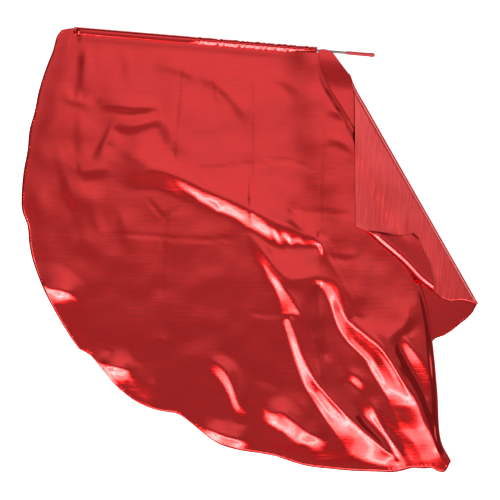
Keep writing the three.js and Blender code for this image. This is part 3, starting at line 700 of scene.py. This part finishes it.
# %% Faces of the whole sheet
columns, rows = sheet.shape[:2]
grid = np.arange(columns * rows).reshape(columns, rows)
round_rod = columns * rows + np.arange(pocket[..., 0].size).reshape(pocket.shape[:2])
ring = np.concatenate([grid[first:last, :1], round_rod], 1)
quads = np.concatenate([
    np.stack([grid[:-1, :-1], grid[:-1, 1:], grid[1:, 1:], grid[1:, :-1]], -1).reshape(-1, 4),
    np.stack([ring[:-1, :-1], ring[1:, :-1], ring[1:, 1:], ring[:-1, 1:]], -1).reshape(-1, 4),
])
points = np.concatenate([sheet.reshape(-1, 3), pocket.reshape(-1, 3)])
print("points", len(points), "faces", len(quads))

# %% [markdown]
# ## The weave's own direction
#
# The cloth has fine ribs that run with the rod. Where it is folded over, the ribs turn with it, so
# the pattern can't be read from the room: every part gets its place on the flat cut cloth as a UV.
# Each fold mirrors the plan across its own line, and the mirrors are carried on from part to part.
# The strip tucked under the pleat is modelled narrower than the ribs say it is, so the pattern is
# stretched at its hidden back fold. Unfolded like this, the sheet is within 3% of its cut.

# %% Places on the flat cut cloth
def mirror(p, a, b):
    """a + 2((p − a)·d)d − (p − a), with d the unit vector from a to b."""
    d = (b - a) / np.hypot(*(b - a))
    o = p - a
    return a + 2 * (o @ d)[..., None] * d - o


# the strip's back fold is hidden: this is where the ribs of the turned side say it must run
EDGE["strip back"] = plan([(317, 54), (346, 400)])
FOLD_LINES = ("corner fold", "turned side", "strip back", "pleat fold")
PASSED = (0, 1, 1, 1, 1, 2, 2, 3, 3, 4, 4)  # fold lines between each of the PARTS and the open cloth
flat = []
for part, passed in zip(PARTS, PASSED):
    q = part[..., :2]
    for name in FOLD_LINES[len(FOLD_LINES) - passed:]:
        q = mirror(q, *resample(EDGE[name], [0.15, 0.85]))
    flat.append(q)
UV = np.concatenate([np.concatenate(flat).reshape(-1, 2), place.reshape(-1, 2)])
print("sheet unfolded to", np.ptp(UV @ np.stack([ALONG, AWAY], 1), axis=0).round(3), "m")


# %% A thin closed sheet from its middle surface
def closed_sheet(name, middle, faces, thickness, uv):
    """middle ± normal·thickness / 2, joined by walls at its edges.

    The upper copy and the walls take material 0, the lower copy material 1. The walls aren't smooth.
    """
    tri = np.concatenate([faces[:, [0, 1, 2]], faces[:, [0, 2, 3]]])
    normal = np.zeros_like(middle)
    face = np.cross(middle[tri[:, 1]] - middle[tri[:, 0]], middle[tri[:, 2]] - middle[tri[:, 0]])
    for k in range(3):
        np.add.at(normal, tri[:, k], face)
    normal /= np.linalg.norm(normal, axis=1, keepdims=True)
    n = len(middle)
    points = np.concatenate([middle + normal * thickness / 2, middle - normal * thickness / 2])
    edges = np.concatenate([faces[:, [k, (k + 1) % 4]] for k in range(4)])
    key = edges[:, 0] * n + edges[:, 1]
    border = edges[~np.isin(key, edges[:, 1] * n + edges[:, 0])]
    wall = np.stack([border[:, 0], border[:, 0] + n, border[:, 1] + n, border[:, 1]], -1)
    quads = np.concatenate([faces, faces[:, ::-1] + n, wall])
    mesh = bpy.data.meshes.new(name)
    mesh.from_pydata(points.tolist(), [], quads.tolist())
    mesh.polygons.foreach_set("use_smooth", np.arange(len(quads)) < 2 * len(faces))
    side = np.repeat([0, 1, 0], [len(faces), len(faces), len(wall)]).astype(np.int32)
    mesh.polygons.foreach_set("material_index", side)
    layer = mesh.uv_layers.new(name="cut")
    layer.data.foreach_set("uv", np.concatenate([uv, uv])[quads.ravel()].ravel())
    mesh.update(calc_edges=True)
    mesh.validate()
    piece = bpy.data.objects.new(name, mesh)
    bpy.context.collection.objects.link(piece)
    print(name, len(points), "points", 2 * len(quads), "triangles")
    return piece


cloth = closed_sheet("metallic_cloth", points, quads, THICKNESS, UV)

# %% [markdown]
# ## The hem's own numbers
#
# Its stitches pucker the hem in groups of short waves. Two numbers kept on the cloth's points let the
# material draw them: how far a point is from its hem, and how far along the hem it is.

# %% How far each point is from its hem, and how far along it
FAR = 1.0  # metres, for points on parts without a hem of their own
gap, run = np.full(len(points), FAR), np.zeros(len(points))
start = 0
for part in PARTS:
    for hem_line, owner in ((whole_hem(4), open_part), (EDGE["low hem"][::8], low_part)):
        if part is owner:
            away, share = nearest(part[..., :2].reshape(-1, 2), hem_line)
            length = np.hypot(*np.diff(hem_line, axis=0).T).sum()
            gap[start:start + away.size], run[start:start + away.size] = np.abs(away), share * length
    start += part[..., 0].size
for name, values in (("hem_gap", gap), ("hem_run", run)):
    cloth.data.attributes.new(name, "FLOAT", "POINT").data.foreach_set("value", np.r_[values, values])
print("hem runs", run.max().round(3), "m")

# %% [markdown]
# ## Metallic cloth
#
# Metallic cloth is a knit with a thin metal film on it. It mirrors the room like brushed metal:
# the ribs spread every highlight across them, so the shader is an anisotropic metal with its
# tangent along the ribs. Streaks stretched along the ribs vary its colour, gloss and height.

# %% Node helpers and the cloth's material
def new_material(name):
    """A new material, its node tree and its shader."""
    material = bpy.data.materials.new(name)
    material.use_nodes = True
    return material, material.node_tree, material.node_tree.nodes["Principled BSDF"]


def fill(tree, made, sockets):
    """Fills a node's sockets, each by another socket or by a plain value."""
    for socket, value in dict(sockets).items():
        if isinstance(value, bpy.types.NodeSocket):
            tree.links.new(value, made.inputs[socket])
        else:
            made.inputs[socket].default_value = value


def node(tree, kind, sockets=(), **settings):
    """A shader node with its settings and its sockets filled."""
    made = tree.nodes.new("ShaderNode" + kind)
    for key, value in settings.items():
        setattr(made, key, value)
    fill(tree, made, sockets)
    return made


def maths(tree, operation, *terms):
    """What a math node makes of its terms."""
    return node(tree, "Math", dict(enumerate(terms)), operation=operation).outputs[0]


def ranged(tree, value, low, high, start=0.0, end=1.0):
    """From start at low to end at high, in a straight line, and no further at either side."""
    ends = {"From Min": low, "From Max": high, "To Min": start, "To Max": end}
    return node(tree, "MapRange", {"Value": value, **ends}).outputs["Result"]


def noise(tree, place, scale, detail):
    """Noise of a place, with a scale of its own along each axis."""
    place = node(tree, "Mapping", {"Vector": place, **scale}).outputs["Vector"]
    return node(tree, "TexNoise", {"Vector": place, "Scale": 1.0, "Detail": detail}).outputs["Fac"]


def two_tone(tree, share, low, high, dark, light):
    """Dark below low, light above high, and blended between them."""
    ramp = node(tree, "ValToRGB", {"Fac": share})
    ends = ramp.color_ramp.elements
    ends[0].position, ends[0].color = low, (*dark, 1)
    ends[1].position, ends[1].color = high, (*light, 1)
    return ramp.outputs["Color"]


def bump(tree, height, distance, strength, below=None):
    """A surface raised by a height, on top of another bump if there is one."""
    sockets = {"Height": height, "Distance": distance, "Strength": strength}
    return node(tree, "Bump", sockets | ({"Normal": below} if below else {})).outputs["Normal"]


# how often each noise repeats in a metre of cut cloth, along the ribs and across them
FINE, BROAD, ROUGH, CRUMPLED = (16, 420), (11, 170), (9, 9), (30, 75)
STITCH = 0.0095  # metres from one pucker of the hem to the next
STITCH_NEAR, STITCH_FAR = 0.003, 0.011  # metres from the hem: the puckers fade from the one to the other
STITCH_HEIGHT, CRUMPLE_HEIGHT = 0.00045, 0.0004
GROUPS = (0.50, 0.62)  # noise at which the puckers start to show, and show in full
TONES = (0.32, 0.68)  # noise at the dark and at the light end
METAL = {"Metallic": 1.0, "Anisotropic": 0.4, "Anisotropic Rotation": 0.25, "Coat Weight": 0.7,
         "Coat Roughness": 0.07}


def metallic_cloth(name, dark, light, rib, gloss):
    """Brushed metal on the cut's own UV: streaks along the ribs vary its colour, gloss and height."""
    material, tree, shader = new_material(name)
    uv = node(tree, "UVMap", uv_map="cut").outputs["UV"]

    def streaks(repeats, detail=3.0):
        """Noise with a scale of its own along the ribs and across them."""
        return noise(tree, uv, {"Scale": (*repeats, 1.0)}, detail)

    rough = streaks(ROUGH, 5.0)
    total = maths(tree, "ADD", maths(tree, "ADD", streaks(FINE), streaks(BROAD)), rough)

    # the puckers come in groups: a quick wave along the hem, let through by an uneven slow noise
    gap, run = (node(tree, "Attribute", attribute_name=kept).outputs["Fac"] for kept in ("hem_gap", "hem_run"))
    quick = maths(tree, "SINE", maths(tree, "MULTIPLY", run, 2 * pi / STITCH))
    slow = node(tree, "TexNoise", {"W": run, "Scale": 28.0, "Detail": 2.0}, noise_dimensions="1D")
    groups = ranged(tree, slow.outputs["Fac"], *GROUPS)
    near_hem = ranged(tree, gap, STITCH_NEAR, STITCH_FAR, 1.0, 0.0)
    stitches = maths(tree, "MULTIPLY", maths(tree, "MULTIPLY", quick, groups), near_hem)

    crumple = bump(tree, streaks(CRUMPLED, 2.0), CRUMPLE_HEIGHT, 0.5)
    puckers = bump(tree, stitches, STITCH_HEIGHT, 1.0, crumple)
    fill(tree, shader, METAL | {
        "Base Color": two_tone(tree, maths(tree, "MULTIPLY", total, 1 / 3), *TONES, dark, light),
        "Roughness": ranged(tree, rough, 0.0, 1.0, *gloss),
        "Normal": bump(tree, total, rib, 0.35, puckers),
        "Tangent": node(tree, "Tangent", direction_type="UV_MAP", uv_map="cut").outputs["Tangent"]})
    return material


cloth.data.materials.append(metallic_cloth(
    "metallic cloth, face", (0.56, 0.013, 0.014), (0.62, 0.018, 0.020), 0.0004, (0.14, 0.20)))
cloth.data.materials.append(metallic_cloth(
    "metallic cloth, reverse", (0.66, 0.028, 0.031), (1.0, 0.10, 0.103), 0.0018, (0.24, 0.36)))
print("materials", [material.name for material in cloth.data.materials])

# %% [markdown]
# ## Rod and grip
#
# The rod is plain drawn metal and the grip a soft dipped coat. Both have the right shape already,
# so they only get their finishes: faint lengthwise streaks on one, a fine skin on the other.

# %% Finishes of the rod and the grip
def streaked(name, dark, light, metallic, roughness, scale, height):
    """Noise on the piece's own coordinates, stretched by a scale for each axis."""
    material, tree, shader = new_material(name)
    place = node(tree, "TexCoord").outputs["Object"]
    streaks = noise(tree, place, {"Rotation": (0, 0, -ROD_TURN), "Scale": scale}, 4.0)
    fill(tree, shader, {"Base Color": two_tone(tree, streaks, 0.3, 0.7, dark, light), "Metallic": metallic,
                        "Roughness": roughness, "Normal": bump(tree, streaks, height, 0.3)})
    return material


def dress(name, material):
    """Gives a piece of the frame its finish."""
    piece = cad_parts[name]
    piece.data.materials.clear()
    piece.data.materials.append(material)


dress("rod", streaked(
    "drawn metal", (0.15, 0.15, 0.15), (0.30, 0.30, 0.30), 0.9, 0.32, (8, 900, 900), 0.00005))
dress("grip", streaked(
    "dipped coat", (0.52, 0.030, 0.050), (0.66, 0.050, 0.075), 0.0, 0.42, (300, 300, 300), 0.0001))
print("finishes", [material.name for material in bpy.data.materials][-2:])

# %% [markdown]
# ## The stage
#
# The flag lies on a plain white floor and mirrors what hangs over it. A broad ceiling light, weaker
# towards the near and the left side, gives the flat cloth its even red, and a fainter one goes on
# from it to the right. Lights on the near and the left side have one hot band each, which puts a
# bright line on every slope that faces it. A low red light fills the slopes that are steeper still.

# %% Floor, lights and camera
def plane(name, size, location, material):
    """A level square face of one material."""
    mesh = bpy.data.meshes.new(name)
    s = size / 2
    mesh.from_pydata([(-s, -s, 0), (s, -s, 0), (s, s, 0), (-s, s, 0)], [], [(0, 1, 2, 3)])
    mesh.materials.append(material)
    piece = bpy.data.objects.new(name, mesh)
    piece.location = location
    bpy.context.collection.objects.link(piece)
    return piece


floor_material, tree, shader = new_material("plain white floor")
# to the camera the floor looks whiter than what the cloth mirrors of it
seen = node(tree, "LightPath").outputs["Is Camera Ray"]
fill(tree, shader, {"Base Color": (0.93, 0.93, 0.93, 1), "Roughness": 0.9, "Emission Color": (1, 1, 1, 1),
                    "Emission Strength": ranged(tree, seen, 0.0, 1.0, 0.35, 0.8)})
FLOOR_SIZE, FLOOR_LEVEL = 14, -0.0004
floor = plane("floor", FLOOR_SIZE, (0, 0, FLOOR_LEVEL), floor_material)


def area_light(name, place, target, size, power, colour=(1, 1, 1), across=None, along=None):
    """A rectangular soft light turned to face a target, with ramps of strength across it and along it."""
    light = bpy.data.lights.new(name, "AREA")
    light.shape = "RECTANGLE"
    light.size, light.size_y = size
    light.energy = power
    light.color = colour
    light.use_nodes = True
    tree = light.node_tree
    parts = node(tree, "SeparateXYZ", {0: node(tree, "NewGeometry").outputs["Parametric"]})
    strengths = []
    for axis, stops in (("X", across), ("Y", along)):
        curve = node(tree, "FloatCurve", {"Value": parts.outputs[axis]})
        points = curve.mapping.curves[0].points
        stops = stops or [(0, 1), (1, 1)]
        for stop in stops[1:-1]:
            points.new(*stop)
        for point, stop in zip(points, stops):
            point.location = stop
            point.handle_type = "VECTOR"
        curve.mapping.update()
        strengths.append(curve.outputs["Value"])
    fill(tree, tree.nodes["Emission"], {"Strength": maths(tree, "MULTIPLY", *strengths)})
    lamp = bpy.data.objects.new(name, light)
    lamp.location = place
    lamp.rotation_euler = (Vector(target) - Vector(place)).to_track_quat("-Z", "Y").to_euler()
    bpy.context.collection.objects.link(lamp)


WARM = (1.0, 0.93, 0.88)
HOT = [(0, 0.08), (0.10, 0.20), (0.34, 0.30), (0.44, 0.85), (0.50, 1), (0.56, 0.85), (0.66, 0.30),
       (0.90, 0.20), (1, 0.08)]
area_light("ceiling", (-0.275, 1.2, 4.2), (-0.275, 1.2, 0), (2.85, 4.8), 43,
           across=[(0, 0.12), (0.10, 0.34), (0.23, 0.68), (0.37, 0.85), (0.48, 1), (1, 1)],
           along=[(0, 0.2), (0.16, 0.2), (0.205, 0.28), (0.25, 0.42), (0.295, 0.62), (0.36, 0.9), (1, 1)])
area_light("right ceiling", (2.6, 0.2, 4.2), (2.6, 0.2, 0), (2.85, 3.5), 13,
           along=[(0, 0.3), (0.35, 0.4), (0.6, 1), (1, 1)])
area_light("near", (0.2, -2.37, 3.48), (0, -0.2, 0), (2.6, 1.3), 190, WARM, along=HOT)
area_light("near left", (-1.54, -1.64, 3.48), (0, -0.1, 0), (1.9, 1.3), 140, WARM, along=HOT)
area_light("left", (-2.35, -0.45, 3.48), (0, -0.1, 0), (1.1, 1.5), 55, WARM, across=HOT)
area_light("glow", (-0.8, -3.4, 2.2), (0, -0.2, 0), (5, 1.7), 20, (1.0, 0.12, 0.10))

scene = bpy.context.scene
world = bpy.data.worlds.new("room")
world.use_nodes = True
fill(world.node_tree, world.node_tree.nodes["Background"], {"Color": (1, 0.6, 0.58, 1), "Strength": 0.25})
scene.world = world
scene.view_settings.view_transform = "Standard"

CAMERA_HEIGHT = 6.0
SENSOR = 36  # millimetres
camera = bpy.data.cameras.new("camera")
camera.sensor_width = SENSOR
camera.lens = SENSOR * CAMERA_HEIGHT / (SIDE * UNIT)  # the plan just fills the picture
view = bpy.data.objects.new("camera", camera)
view.location = (SHIFT[0], SHIFT[1], CAMERA_HEIGHT)
bpy.context.collection.objects.link(view)
scene.camera = view
print("lights", len(bpy.data.lights), "camera at", tuple(view.location))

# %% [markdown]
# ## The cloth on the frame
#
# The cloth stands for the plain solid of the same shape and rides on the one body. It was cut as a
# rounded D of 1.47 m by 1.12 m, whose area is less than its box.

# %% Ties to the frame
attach(cloth, "root")
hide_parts("flag_cloth")
